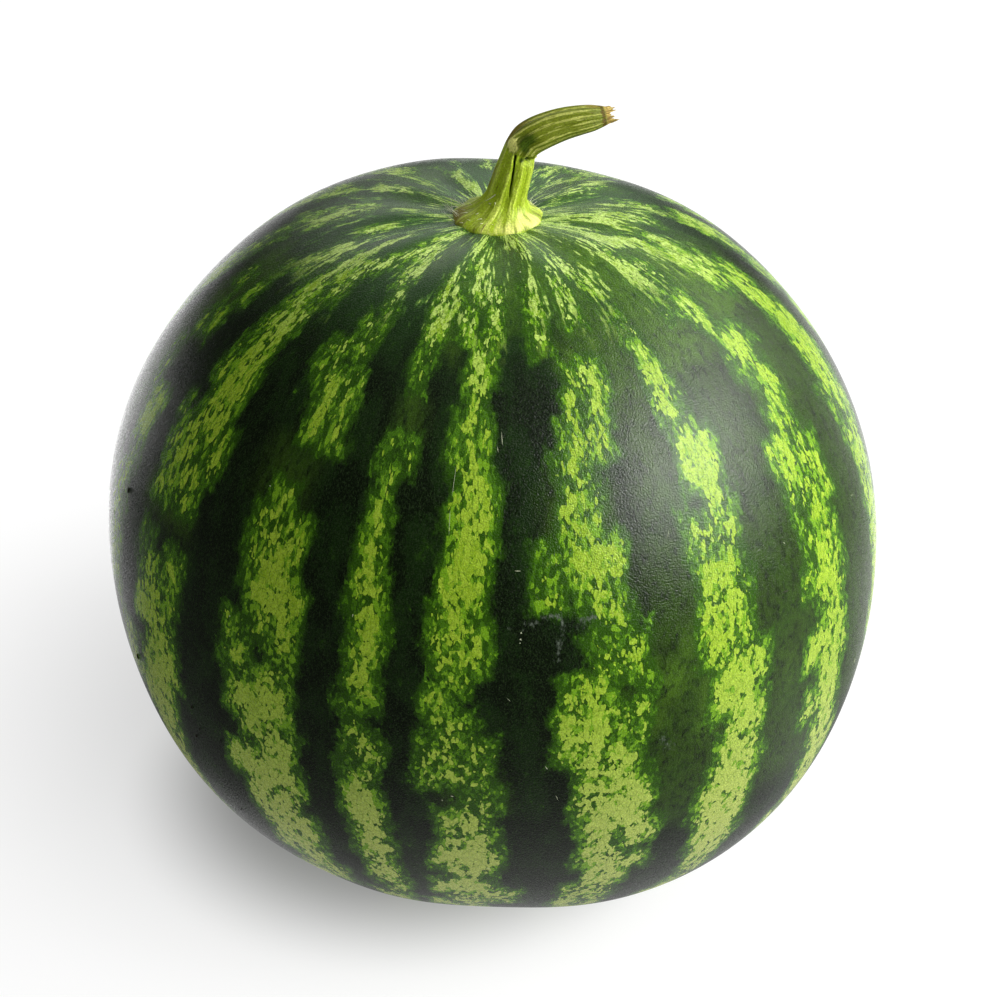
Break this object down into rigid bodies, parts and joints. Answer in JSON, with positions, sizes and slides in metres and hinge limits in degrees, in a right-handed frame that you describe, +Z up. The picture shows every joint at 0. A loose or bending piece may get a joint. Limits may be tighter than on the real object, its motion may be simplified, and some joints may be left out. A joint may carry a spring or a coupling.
{
  "type": "watermelon",
  "caption": "Whole round striped watermelon standing on a small flat spot, with a ribbed, kinked stalk on its crown.",
  "frame": {"origin": "in the middle of the object's box in plan, at the height of the flat spot that the fruit rests on", "axes": "+Z up through the crown and the stalk, +X the way the kinked stalk points, -Y the side of the slit in the stalk"},
  "size_m": [0.2554, 0.2506, 0.274],
  "materials": {
    "rind": "waxy satin rind, near-black green bands between mottled yellow-green stripes",
    "stalk": "ribbed yellow-green plant stalk, dull, dry and brown at its foot and torn end"
  },
  "bodies": {
    "root": {"fruit": "rind", "stalk": "stalk"}
  },
  "joints": []
}
